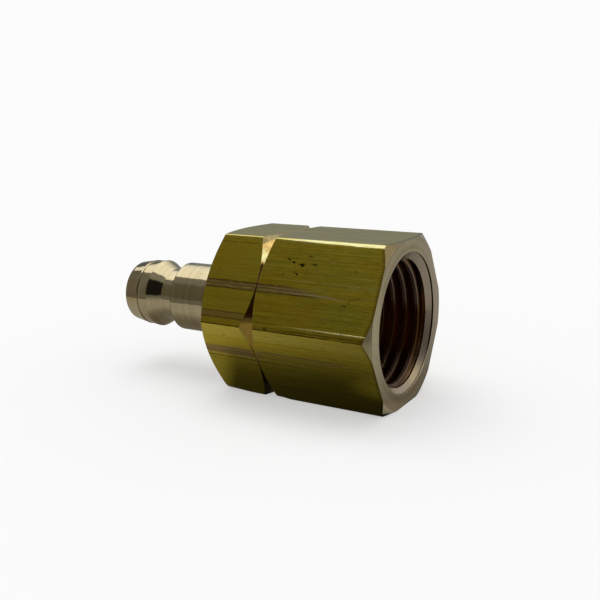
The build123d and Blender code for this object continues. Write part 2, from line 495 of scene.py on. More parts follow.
def drawn_brass():
    """Bar stock as it leaves the die: lines along the bar, scuffed bands, a few pits, worn corners."""
    mat = bpy.data.materials.new("brass_drawn")
    mat.use_nodes = True
    n = Nodes(mat.node_tree)
    where, behind, along, around = surface(n)

    def grain(long, cross, seed, detail, rough, kind="3D"):
        return n.noise(n.combine(n.math("MULTIPLY", behind, long), n.math("MULTIPLY", around, cross), seed), 1.0, detail, rough, kind)

    fine = grain(0.11, 5.6, 0.0, 4.0, 0.62)
    broad = grain(0.05, 1.7, 3.0, 3.0, 0.5)
    short = grain(0.60, 4.6, 7.0, 4.0, 0.62)
    dash = grain(0.95, 6.5, 31.0, 2.0, 0.5)
    blotch = grain(0.16, 0.42, 5.0, 3.0, 0.55)
    other = grain(0.22, 0.50, 17.0, 3.0, 0.55)
    cloud = n.noise(where, 900.0, 3.0, 0.6)
    ragged = n.math("SUBTRACT", grain(0.40, 4.0, 11.0, 3.0, 0.65), 0.5)
    sway = n.math("SUBTRACT", grain(0.55, 0.10, 13.0, 2.0, 0.6), 0.5)
    edge = n.math("MULTIPLY_ADD", ragged, 0.45, around)
    nearly = n.math("MULTIPLY_ADD", sway, 0.16, n.math("MULTIPLY_ADD", ragged, 0.09, around))

    def reach(start, end):
        return n.step(n.math("MULTIPLY_ADD", ragged, 3.0, behind), start, end)

    def stripe(at, lo, hi, soft, start, end, weight):
        return n.math("MULTIPLY", n.math("MULTIPLY", band(n, at, lo, hi, soft), reach(start, end)), weight)

    def together(items):
        # each item is made and folded in before the next: a shader keeps few values at a time
        out = 0.0
        for item in items:
            out = n.math("MAXIMUM", out, item)
        return out

    def spot(x, y, s, p, w, h, inner, outer):
        a = n.math("DIVIDE", n.math("SUBTRACT", x, s), w)
        b = n.math("DIVIDE", n.math("SUBTRACT", y, p), h)
        return n.step(n.math("MULTIPLY_ADD", a, a, n.math("MULTIPLY", b, b)), outer, inner)

    # scuffed bands: (from, to, softness, fades in from, full at, weight)
    bands = together(stripe(edge, *item) for item in (
        (27.62, 28.46, 0.06, 6.2, 10.8, 0.78), (31.28, 32.14, 0.10, 13.8, 15.6, 0.58), (36.42, 37.52, 0.09, 12.5, 15.5, 0.75),
        (36.30, 36.85, 0.10, 1.0, 6.0, 0.40), (37.15, 37.45, 0.10, 3.0, 9.0, 0.30),
        (14.10, 14.70, 0.12, 6.0, 14.0, 0.40), (18.6, 19.1, 0.10, 16.0, 5.0, 0.35),
        (4.20, 5.00, 0.15, 18.0, 4.0, 0.5), (8.30, 8.70, 0.10, 6.0, 15.0, 0.45),
        (48.0, 49.1, 0.15, 4.0, 15.0, 0.5), (52.2, 52.6, 0.10, 16.0, 8.0, 0.4),
        (58.2, 58.9, 0.12, 17.0, 7.0, 0.5), (61.4, 62.3, 0.15, 9.0, 18.0, 0.5)))
    lines = together(stripe(nearly, at - half, at + half, soft, start, end, weight) for at, half, soft, start, end, weight in (
        (27.62, 0.09, 0.05, 9.0, 13.0, 0.75), (28.50, 0.08, 0.05, 4.5, 9.0, 0.75), (28.03, 0.035, 0.03, 8.0, 12.0, 0.55),
        (31.34, 0.08, 0.05, 14.0, 15.5, 0.45), (32.06, 0.08, 0.05, 13.0, 15.5, 0.55),
        (32.62, 0.09, 0.06, 11.5, 8.5, 0.55), (32.45, 0.03, 0.03, 6.0, 3.0, 0.4),
        (36.50, 0.06, 0.05, 0.0, 5.0, 0.45), (37.30, 0.05, 0.05, 6.0, 14.0, 0.40), (38.03, 0.07, 0.04, 6.0, 14.0, 0.75), (37.0, 0.04, 0.04, 9.0, 14.0, 0.45),
        (36.95, 0.04, 0.04, 1.0, 4.0, 0.35), (38.6, 0.04, 0.04, 2.0, 8.0, 0.25),
        (22.84, 0.06, 0.04, 15.9, 16.8, 0.55), (24.10, 0.03, 0.03, 14.0, 16.0, 0.25), (29.7, 0.04, 0.03, 2.0, 9.0, 0.30),
        (26.35, 0.04, 0.04, 9.0, 3.0, 0.35), (30.75, 0.04, 0.04, 10.0, 3.0, 0.35), (25.55, 0.03, 0.03, 8.0, 2.0, 0.25),
        (34.9, 0.04, 0.03, 4.0, 9.0, 0.30), (40.3, 0.05, 0.04, 3.0, 9.0, 0.3), (46.3, 0.04, 0.03, 2.0, 12.0, 0.3),
        (17.2, 0.05, 0.04, 20.0, 6.0, 0.35), (12.9, 0.04, 0.03, 3.0, 9.0, 0.3), (7.1, 0.04, 0.03, 4.0, 12.0, 0.3),
        (56.6, 0.05, 0.04, 2.0, 8.0, 0.3), (63.2, 0.04, 0.03, 20.0, 8.0, 0.3)))
    gaps = n.step(grain(0.9, 1.5, 23.0, 2.0, 0.6), 0.36, 0.52)
    lines = n.math("MULTIPLY", lines, n.math("MULTIPLY_ADD", gaps, 0.60, 0.40))
    # a dark hairline follows the corner below the raised strip: a painted dark reflection
    painted_corner_line = n.math("MULTIPLY_ADD", sway, 0.05, n.math("MULTIPLY_ADD", n.math("SUBTRACT", dash, 0.5), 0.12, around))
    painted_corner_line = n.math("MULTIPLY", band(n, painted_corner_line, 32.84, 32.99, 0.025), n.math("MULTIPLY_ADD", gaps, 0.15, 0.83))
    pale = together(stripe(nearly, at - half, at + half, 0.03, start, end, weight) for at, half, start, end, weight in (
        (26.80, 0.04, 11.0, 9.5, 0.85), (26.98, 0.03, 7.5, 6.0, 0.75), (27.16, 0.03, 4.5, 3.0, 0.65), (27.88, 0.03, 8.5, 11.0, 0.55),
        (28.20, 0.04, 6.5, 9.0, 0.75), (28.34, 0.03, 4.0, 7.0, 0.70), (28.02, 0.03, 3.0, 1.5, 0.65),
        (29.9, 0.03, 9.0, 6.0, 0.45), (31.2, 0.03, 9.0, 6.0, 0.45), (25.9, 0.03, 8.0, 5.0, 0.35), (24.4, 0.03, 10.0, 7.0, 0.45),
        (37.70, 0.06, 13.0, 15.0, 0.60), (35.4, 0.03, 9.0, 5.0, 0.30), (15.9, 0.03, 3.0, 9.0, 0.35), (50.2, 0.03, 3.0, 9.0, 0.35),
        (2.9, 0.03, 3.0, 9.0, 0.35), (60.1, 0.03, 9.0, 16.0, 0.35), (42.0, 0.04, 2.0, 9.0, 0.3)))
    pale = n.math("MULTIPLY", pale, n.step(grain(0.75, 2.5, 29.0, 2.0, 0.6), 0.40, 0.56))

    # painted glints: pale streaks inside the upper band: (at, from, to, weight)
    glints = together(n.math("MULTIPLY", stripe(nearly, at - 0.045, at + 0.045, 0.04, start, start + 2.0, weight), n.step(behind, stop, stop - 2.5))
                      for at, start, stop, weight in ((28.26, 4.5, 12.0, 0.80), (28.44, 3.0, 8.5, 0.60), (27.92, 6.5, 13.5, 0.50), (36.86, 2.0, 9.0, 0.35)))
    # short strokes, light and dark; the front half of the bar has been handled more
    handled = n.math("MULTIPLY_ADD", n.step(behind, 16.0, 12.5), 0.72, 0.28)
    light = n.math("MULTIPLY", n.math("MULTIPLY", n.step(dash, 0.58, 0.74), 0.50), handled)
    dark = n.math("MULTIPLY", n.math("MULTIPLY", n.step(short, 0.44, 0.27), 0.62), handled)

    # pits: a patch of dents listed one by one on one flat, and sparse specks elsewhere
    warp = n.math("SUBTRACT", n.noise(where, 3600.0, 2.0, 0.6), 0.5)
    twist = n.math("SUBTRACT", n.noise(where, 2300.0, 1.0, 0.5), 0.5)
    px = n.math("MULTIPLY_ADD", warp, 0.60, behind)
    py = n.math("MULTIPLY_ADD", twist, 0.50, around)
    dents = together(n.math("MULTIPLY", spot(px, py, s, p, 1.2 * w, 1.25 * h, 0.35, 1.5), min(1.0, 1.2 * weight)) for s, p, w, h, weight in (
        (11.51, 24.46, 0.20, 0.13, 0.75), (10.78, 24.74, 0.20, 0.13, 0.8), (9.70, 24.95, 0.36, 0.15, 0.9),
        (8.16, 24.80, 0.28, 0.13, 0.65), (10.20, 26.02, 0.26, 0.12, 0.75), (11.85, 26.24, 0.14, 0.16, 0.5),
        (8.95, 25.50, 0.10, 0.34, 0.45), (8.85, 23.95, 0.34, 0.07, 0.5), (9.6, 23.70, 0.30, 0.05, 0.35), (6.40, 24.05, 0.13, 0.10, 0.35),
        (20.15, 26.35, 0.14, 0.11, 0.5), (19.2, 30.72, 0.14, 0.08, 0.4), (18.6, 30.9, 0.10, 0.10, 0.4), (19.8, 30.4, 0.10, 0.08, 0.3),
        (3.6, 29.15, 0.30, 0.11, 0.5), (3.2, 28.75, 0.26, 0.07, 0.4), (3.9, 29.7, 0.10, 0.26, 0.3), (12.3, 32.75, 0.22, 0.12, 0.6),
        (3.1, 25.2, 0.16, 0.10, 0.3), (18.2, 34.5, 0.18, 0.12, 0.35), (6.2, 47.2, 0.2, 0.14, 0.6), (8.1, 16.3, 0.2, 0.14, 0.5), (17.1, 59.4, 0.2, 0.14, 0.6)))
    spots = n.tree.nodes.new("ShaderNodeTexVoronoi")
    spots.voronoi_dimensions = "2D"
    n.put(spots, "Vector", n.combine(n.math("MULTIPLY", px, 0.62), n.math("MULTIPLY", py, 1.15), 0.0))
    spots.inputs["Scale"].default_value = 1.0
    rare = n.step(n.separate(spots.outputs["Color"])[0], 0.88, 0.96)
    pits = n.math("MAXIMUM", dents, n.math("MULTIPLY", n.math("MULTIPLY", n.step(spots.outputs["Distance"], 0.12, 0.04), rare), 0.45))

    # corners rub bright, most of all the one that eases off
    lane = n.math("DIVIDE", around, SIDE)
    off = n.math("MULTIPLY", n.math("ABSOLUTE", n.math("SUBTRACT", lane, n.math("ROUND", lane))), SIDE)
    rub = n.math("MULTIPLY", n.step(n.math("MULTIPLY_ADD", ragged, 0.35, off), 0.34, 0.16), 0.30)
    rub = n.math("MULTIPLY", rub, n.step(n.math("ABSOLUTE", n.math("SUBTRACT", around, 3 * SIDE)), 0.6, 1.2))
    lip = n.math("ADD", nearly, n.math("MULTIPLY", n.math("SUBTRACT", dash, 0.5), 0.35))
    eased = n.step(n.math("ABSOLUTE", n.math("SUBTRACT", lip, 2 * SIDE - 0.02)), 0.42, 0.26)
    worn = n.math("MULTIPLY", eased, n.math("MULTIPLY_ADD", n.step(behind, 14.6, 9.0), 0.80, 0.15))
    worn = n.math("MULTIPLY", worn, n.math("MULTIPLY_ADD", n.step(short, 0.36, 0.50), 0.50, 0.50))
    # a painted highlight along the upper edge of the raised strip
    painted_strip_highlight = n.math("MULTIPLY", band(n, nearly, 32.08, 32.24, 0.03), n.step(behind, 11.0, 6.0))

    # the bar's front edge is dull and a little dirty
    rim = n.math("SQRT", n.math("ADD", n.math("POWER", n.math("MULTIPLY", n.separate(where)[1], 1000.0), 2.0),
                                n.math("POWER", n.math("MULTIPLY_ADD", n.separate(where)[2], 1000.0, -AXIS_Z), 2.0)))
    cut = n.math("MULTIPLY", n.math("MAXIMUM", n.math("SUBTRACT", rim, FACE_R), 0.0), FACE_SLOPE)
    lead = n.math("ADD", n.math("SUBTRACT", behind, cut), n.math("MULTIPLY", ragged, 0.6))
    lead = n.math("MULTIPLY", n.step(lead, 0.50, 0.02), n.math("SUBTRACT", 1.0, worn))

    tone = n.math("MULTIPLY_ADD", fine, 0.34, n.math("MULTIPLY_ADD", broad, 0.26, n.math("MULTIPLY_ADD", short, 0.24, n.math("MULTIPLY", cloud, 0.16))))
    calm = n.math("MULTIPLY_ADD", n.step(behind, 16.5, 12.5), 0.65, 0.38)
    calm = n.math("MULTIPLY", calm, n.math("MULTIPLY_ADD", band(n, around, 33.4, 43.0, 0.8), -0.30, 1.0))
    tone = n.math("MULTIPLY_ADD", n.math("SUBTRACT", tone, 0.5), calm, 0.5)
    base = n.ramp(tone, [(0.32, (0.62, 0.46, 0.028)), (0.50, (0.83, 0.62, 0.044)), (0.68, (0.98, 0.75, 0.072))])
    brown = n.math("MAXIMUM", n.math("MULTIPLY", n.step(blotch, 0.50, 0.68), 0.60), together(
        n.math("MULTIPLY", spot(n.math("MULTIPLY_ADD", sway, 3.0, behind), edge, s, p, w, h, 0.1, 1.6), weight) for s, p, w, h, weight in (
            (12.4, 29.9, 2.6, 0.8, 0.70), (9.6, 29.4, 2.2, 0.5, 0.45), (20.4, 24.2, 1.6, 1.1, 0.30), (11.0, 35.6, 3.0, 0.6, 0.35))))
    base = n.mix(brown, base, (0.88, 0.565, 0.024))
    green = n.math("MAXIMUM", n.math("MULTIPLY", n.step(other, 0.52, 0.68), 0.60), together(
        n.math("MULTIPLY", spot(n.math("MULTIPLY_ADD", sway, 3.0, behind), edge, s, p, w, h, 0.1, 1.6), weight) for s, p, w, h, weight in (
            (3.6, 30.4, 3.0, 1.8, 0.75), (4.5, 26.0, 3.4, 1.6, 0.55), (18.0, 29.6, 3.0, 1.2, 0.35), (7.0, 23.6, 4.0, 0.7, 0.40))))
    base = n.mix(green, base, (0.66, 0.62, 0.050))
    base = n.mix(n.math("MULTIPLY", n.step(behind, 13.5, 16.0), 0.30), base, (1.0, 0.75, 0.055))
    upper = n.math("MULTIPLY", band(n, edge, 33.02, 34.6, 0.20), 0.40)
    base = n.mix(upper, base, (0.92, 0.76, 0.15))
    grime = n.math("MULTIPLY_ADD", n.math("MULTIPLY", n.math("SUBTRACT", fine, 0.5), calm), 0.8, 1.0)
    base = n.mix(1.0, base, n.combine(grime, grime, grime), "MULTIPLY")
    base = n.mix(light, base, (1.0, 0.86, 0.20))
    base = n.mix(dark, base, (0.36, 0.26, 0.015))
    streaked = n.math("MULTIPLY", bands, n.math("MULTIPLY_ADD", fine, 0.9, 0.60), clamp=True)
    base = n.mix(streaked, base, (0.56, 0.35, 0.135))
    base = n.mix(pale, base, (1.0, 0.88, 0.34))
    # curved hairlines from handling: the contours of a slow noise
    slow = n.noise(n.combine(n.math("MULTIPLY", behind, 0.42), n.math("MULTIPLY", around, 1.15), 41.0), 1.0, 1.0, 0.4)
    curls = n.step(n.math("ABSOLUTE", n.math("SUBTRACT", n.math("PINGPONG", slow, 0.25), 0.12)), 0.012, 0.004)
    base = n.mix(n.math("MULTIPLY", curls, n.math("MULTIPLY", n.step(other, 0.40, 0.60), 0.34)), base, (1.0, 0.86, 0.26))
    # the painted glints
    base = n.mix(glints, base, (0.92, 0.76, 0.56))
    base = n.mix(lines, base, (0.10, 0.060, 0.015))
    # the painted dark reflection along the corner
    base = n.mix(painted_corner_line, base, (0.05, 0.03, 0.008))
    base = n.mix(n.math("MAXIMUM", rub, worn), base, (0.99, 0.91, 0.44))
    # the painted highlight on the raised strip
    base = n.mix(n.math("MULTIPLY", painted_strip_highlight, 0.9), base, (1.0, 0.88, 0.40))
    base = n.mix(n.math("MULTIPLY", lead, 0.60), base, (0.22, 0.15, 0.01))
    top = n.math("MULTIPLY", n.step(n.math("SUBTRACT", behind, cut), 0.32, 0.14), n.math("MULTIPLY", band(n, around, 11.5, 21.4, 0.4), 0.8))
    base = n.mix(top, base, (0.16, 0.11, 0.02))
    # painted shade darkens the rear lip of the groove along part of the lower flat
    seam = n.math("ABSOLUTE", n.math("SUBTRACT", behind, n.math("MULTIPLY_ADD", rim, GROOVE_SLOPE, GROOVE_S + GROOVE_HALF - GROOVE_R * GROOVE_SLOPE)))
    base = n.mix(n.math("MULTIPLY", n.math("MULTIPLY", n.step(seam, 0.10, 0.05), band(n, around, 32.9, 37.2, 0.15)), 0.80), base, (0.42, 0.33, 0.035))
    base = n.mix(pits, base, (0.05, 0.035, 0.008))

    rough = n.math("MULTIPLY_ADD", n.math("SUBTRACT", fine, 0.5), 0.14, 0.19)
    rough = n.math("MULTIPLY_ADD", streaked, 0.05, rough)
    rough = n.math("MULTIPLY_ADD", pits, 0.3, rough)

    height = n.math("MULTIPLY_ADD", fine, 0.6, n.math("MULTIPLY_ADD", broad, 0.9, n.math("MULTIPLY", short, 0.45)))
    height = n.math("MULTIPLY_ADD", n.math("MULTIPLY", dash, worn), 1.6, height)
    height = n.math("SUBTRACT", height, n.math("MULTIPLY_ADD", pits, 1.4, n.math("MULTIPLY", lines, 0.5)))
    shader(n, base, rough, bump(n, height, 0.50, 0.000016))
    return mat


def turned_brass(name, deep):
    """Cut faces: fine rings from the lathe, cleaner and paler than the drawn flats."""
    mat = bpy.data.materials.new(name)
    mat.use_nodes = True
    n = Nodes(mat.node_tree)
    where, behind, along, around = surface(n)
    y, z = n.separate(where)[1], n.separate(where)[2]
    radius = n.math("SQRT", n.math("ADD", n.math("POWER", n.math("MULTIPLY", y, 1000.0), 2.0),
                                   n.math("POWER", n.math("MULTIPLY_ADD", z, 1000.0, -AXIS_Z), 2.0)))
    # grows along every turned face, and is the same all the way round the axis
    cut = n.math("MULTIPLY_ADD", behind, 0.8, n.math("MULTIPLY", radius, 1.3))
    rings = n.noise(None, 1.0, 3.0, 0.6, "1D", n.math("MULTIPLY", cut, 3.2))
    wide = n.noise(None, 1.0, 2.0, 0.5, "1D", n.math("MULTIPLY", cut, 1.3))
    cloud = n.noise(where, 420.0, 3.0, 0.55)
    scuff = n.noise(where, 1500.0, 3.0, 0.65)
    worn = n.noise(n.combine(n.math("MULTIPLY", cut, 4.0), n.math("MULTIPLY", around, 0.8), 2.0), 1.0, 3.0, 0.6)
    tone = n.math("MULTIPLY_ADD", rings, 0.26, n.math("MULTIPLY_ADD", wide, 0.34, n.math("MULTIPLY_ADD", worn, 0.20, n.math("MULTIPLY", cloud, 0.20))))
    tone = n.math("MULTIPLY_ADD", n.math("SUBTRACT", tone, 0.5), n.math("MULTIPLY_ADD", n.step(behind, 22.1, 22.8), -0.35, 1.0), 0.5)
    up = n.math("MULTIPLY", z, 1000.0)
    if deep:
        # the flanks of the thread are dark brown, its crests and the cone at the mouth paler
        base = n.ramp(tone, [(0.3, (0.40, 0.21, 0.10)), (0.7, (0.56, 0.33, 0.18))])
        # painted shade: the flanks are darker still across the middle height of the bore
        painted_mid_shade = n.math("MULTIPLY", n.math("MULTIPLY", n.step(up, 12.0, 10.0), n.step(up, 4.2, 5.6)), n.step(radius, 6.4, 7.0))
        base = n.mix(painted_mid_shade, base, n.ramp(tone, [(0.3, (0.34, 0.155, 0.045)), (0.7, (0.46, 0.23, 0.075))]))
        # painted shade: the flanks low in the bore are darker
        base = n.mix(n.math("MULTIPLY", n.math("MULTIPLY", n.step(up, 5.4, 4.0), n.step(radius, 6.4, 7.0)), 0.60), base, (0.17, 0.085, 0.03))
        cone = n.math("MULTIPLY", n.step(n.math("ABSOLUTE", n.math("SUBTRACT", radius, n.math("MULTIPLY_ADD", behind, -1.0 / MOUTH_SLOPE, MOUTH_R + MOUTH_LAND / MOUTH_SLOPE))), 0.05, 0.02),
                      n.step(behind, 0.95, 0.88))
        crest = n.math("MULTIPLY", n.step(radius, MINOR + 0.06, MINOR + 0.02), n.math("MULTIPLY", n.step(radius, MINOR - 0.3, MINOR - 0.1), n.step(behind, THREAD_END, THREAD_END - 1.0)))
        # painted shade darkens the first turn behind the mouth, at its top and bottom
        first = n.math("MULTIPLY", n.step(behind, 1.80, 1.50), n.math("SUBTRACT", 1.0, n.math("MAXIMUM", cone, crest)))
        first = n.math("MULTIPLY", first, n.math("MAXIMUM", n.math("MULTIPLY", n.step(up, 10.5, 12.5), 0.85), n.math("MULTIPLY", n.step(up, 6.0, 4.0), 0.85)))
        base = n.mix(first, base, (0.12, 0.065, 0.03))
        # painted highlight on the crests near the top and the bottom of the bore, painted shade on them in between
        clear = n.math("MAXIMUM", n.step(up, 8.8, 10.6), n.math("MULTIPLY", n.step(up, 5.2, 3.6), 0.60))
        base = n.mix(n.math("MULTIPLY", crest, n.math("MULTIPLY_ADD", clear, 0.92, 0.08)), base, (0.78, 0.66, 0.56))
        base = n.mix(n.math("MULTIPLY", crest, n.math("SUBTRACT", 1.0, clear)), base, (0.24, 0.115, 0.03))
        # the cone is paler, with a painted reflection towards its bottom
        base = n.mix(cone, base, n.mix(n.step(up, 5.5, 3.0), n.ramp(tone, [(0.3, (0.64, 0.51, 0.35)), (0.7, (0.76, 0.62, 0.46))]), (0.84, 0.70, 0.50)))
        # painted shade darkens the land at the mouth, most across its middle height
        painted_land_shade = n.math("MULTIPLY", n.step(up, 4.6, 6.4), n.math("MULTIPLY_ADD", n.step(up, 16.2, 13.8), 0.60, 0.20))
        painted_land_shade = n.math("MULTIPLY", n.step(behind, 0.26, 0.19), n.math("ADD", painted_land_shade, 0.08))
        base = n.mix(n.step(behind, 0.26, 0.20), base, (0.66, 0.52, 0.36))
        base = n.mix(painted_land_shade, base, (0.08, 0.05, 0.025))
        grip = n.math("MULTIPLY_ADD", crest, 0.16, n.math("MULTIPLY_ADD", cone, -0.06, 0.26))
        grip = n.math("MULTIPLY_ADD", n.step(behind, 0.26, 0.20), n.math("MULTIPLY_ADD", n.step(up, 6.0, 4.0), 0.45, -0.12), grip)
    else:
        base = n.ramp(tone, [(0.36, (0.66, 0.53, 0.28)), (0.64, (0.91, 0.765, 0.475))])
        lilac = n.math("MULTIPLY", n.step(behind, 0.7, 0.5), n.step(n.math("MULTIPLY", y, 1000.0), 1.0, 7.5))
        base = n.mix(n.math("MULTIPLY", lilac, 0.65), base, (0.88, 0.72, 0.54))
        # painted shade darkens the front chamfer at the upper near corner
        corner = n.math("MULTIPLY", n.math("MULTIPLY", n.step(behind, 1.2, 0.9), n.step(radius, 9.92, 10.0)), band(n, around, 17.0, 26.5, 0.5))
        base = n.mix(n.math("MULTIPLY", corner, 0.85), base, (0.46, 0.37, 0.20))
        # painted shade: the nipple is darker and warmer low down, the collar more so, and across a band on the nose;
        # the face has painted shade towards the bottom and a painted light at the near side
        under = n.math("MULTIPLY", n.math("MULTIPLY", n.step(up, 8.6, 6.6), band(n, behind, 22.5, 35.8, 0.15)), n.step(radius, 3.4, 3.6))
        base = n.mix(under, base, (0.92, 0.84, 0.74), "MULTIPLY")
        base = n.mix(n.math("MULTIPLY", under, n.step(behind, 33.4, 33.8)), base, (0.84, 0.81, 0.78), "MULTIPLY")
        base = n.mix(n.math("MULTIPLY", band(n, up, 8.9, 11.8, 0.5), n.step(behind, 35.7, 35.9)), base, (0.90, 0.82, 0.74), "MULTIPLY")
        flat = n.math("MULTIPLY", n.step(behind, 0.06, 0.03), n.step(radius, 9.98, 9.90))
        base = n.mix(n.math("MULTIPLY", flat, n.step(up, 3.6, 1.4)), base, (0.78, 0.71, 0.65), "MULTIPLY")
        base = n.mix(n.math("MULTIPLY", n.math("MULTIPLY", flat, band(n, up, 4.5, 13.5, 1.5)), n.math("MULTIPLY", n.step(n.math("MULTIPLY", y, 1000.0), -4.0, -8.0), 0.80)), base, (0.99, 0.85, 0.51))
        # painted shade along the nose's step, the shoulder and the collar's edge
        painted_crease_shade = n.math("MAXIMUM", n.math("MULTIPLY", band(n, behind, 35.77, 35.85, 0.03), 0.28), n.math("MULTIPLY", band(n, behind, 30.24, 30.40, 0.04), 0.70))
        painted_crease_shade = n.math("MAXIMUM", painted_crease_shade, n.math("MULTIPLY", band(n, behind, 34.27, 34.36, 0.04), 0.25))
        base = n.mix(painted_crease_shade, base, (0.14, 0.10, 0.04))
        # the groove is darkened: the thin bottom, and the flanks along the lower half of some flats
        groove = band(n, behind, 13.5, 16.2, 0.2)
        clean = n.math("MULTIPLY", groove, n.math("MULTIPLY", n.step(around, 18.5, 21.6), n.step(around, 24.95, 24.45)))
        base = n.mix(clean, base, n.ramp(n.math("MULTIPLY", around, 0.04), [(0.87, (0.98, 0.80, 0.44)), (0.905, (0.87, 0.74, 0.42)), (0.95, (0.99, 0.93, 0.62))]))
        thin = n.math("MULTIPLY", n.step(n.math("MULTIPLY_ADD", cloud, 0.15, radius), 9.86, 9.70), n.math("SUBTRACT", 1.0, n.math("MAXIMUM", band(n, around, 10.0, 24.95, 0.25), band(n, around, 31.9, 36.4, 0.4))))
        patch = n.math("MAXIMUM", band(n, around, 26.9, 31.85, 0.12), n.math("MAXIMUM", band(n, around, 39.2, 44.4, 0.5),
                       n.math("MAXIMUM", band(n, around, 50.2, 53.5, 0.8), band(n, around, 4.0, 8.2, 0.8))))
        groove_darkening = n.math("MULTIPLY", groove, n.math("MAXIMUM", n.math("MULTIPLY", thin, 0.80), n.math("MULTIPLY", patch, 0.80)))
        base = n.mix(groove_darkening, base, (0.24, 0.105, 0.035))
        dull = n.math("MULTIPLY", groove, n.math("MULTIPLY", band(n, around, 31.9, 38.9, 0.2), 0.50))
        base = n.mix(dull, base, (0.66, 0.51, 0.13))
        # near the lip the rear flank sees the table instead of the opposite flank; it is kept as yellow as the rest
        across = n.math("SUBTRACT", n.math("MODULO", around, SIDE), SIDE / 2)
        brim = n.math("SUBTRACT", n.math("SQRT", n.math("MULTIPLY_ADD", across, across, FLAT * FLAT)), radius)
        brim = n.math("MULTIPLY", n.step(brim, 0.42, 0.20), n.math("MULTIPLY", band(n, around, 32.4, 37.6, 0.3), n.step(behind, 14.7, 14.8)))
        base = n.mix(n.math("MULTIPLY", brim, n.math("MULTIPLY", groove, 0.85)), base, (0.76, 0.58, 0.11))
        stain = n.math("MULTIPLY", groove, n.math("MULTIPLY", band(n, around, 20.5, 23.3, 0.3), n.step(scuff, 0.50, 0.64)))
        base = n.mix(n.math("MULTIPLY", stain, 0.40), base, (0.55, 0.32, 0.18))
        grip = 0.08
    base = n.mix(n.math("MULTIPLY", n.step(cloud, 0.56, 0.76), 0.30 if not deep else 0.15), base, (0.66, 0.50, 0.27) if not deep else (0.40, 0.28, 0.18))
    base = n.mix(n.math("MULTIPLY", n.step(worn, 0.42, 0.30), 0.35 if not deep else 0.0), base, (0.45, 0.34, 0.15))
    nick = n.noise(n.combine(n.math("MULTIPLY", cut, 2.2), n.math("MULTIPLY", around, 1.1), 6.0), 1.0, 3.0, 0.65)
    base = n.mix(n.math("MULTIPLY", n.step(nick, 0.41, 0.28), 0.45 if not deep else 0.0), base, (0.42, 0.31, 0.14))
    rough = n.math("MULTIPLY_ADD", n.math("SUBTRACT", cloud, 0.5), 0.06, grip)
    rough = n.math("MULTIPLY_ADD", n.step(scuff, 0.60, 0.75), 0.05, rough)
    height = n.math("MULTIPLY_ADD", rings, 0.8, n.math("MULTIPLY_ADD", worn, 0.35, n.math("MULTIPLY_ADD", nick, 0.30, n.math("MULTIPLY", cloud, 0.3))))
    normal = None
    if not deep:
        # the nipple's skin is a little uneven
        uneven = n.math("MULTIPLY", n.noise(where, 900.0, 3.0, 0.6), n.step(behind, 22.2, 23.0))
        normal = bump(n, uneven, 0.40, 0.000035)
    shader(n, base, rough, bump(n, height, 0.35 if not deep else 0.15, 0.000008, normal))
    return mat


for material in (drawn_brass(), turned_brass("brass_turned", False), turned_brass("brass_bore", True)):
    mesh.materials.append(material)


# ---------------------------------------------------------------- the floor

PALE = 0.97


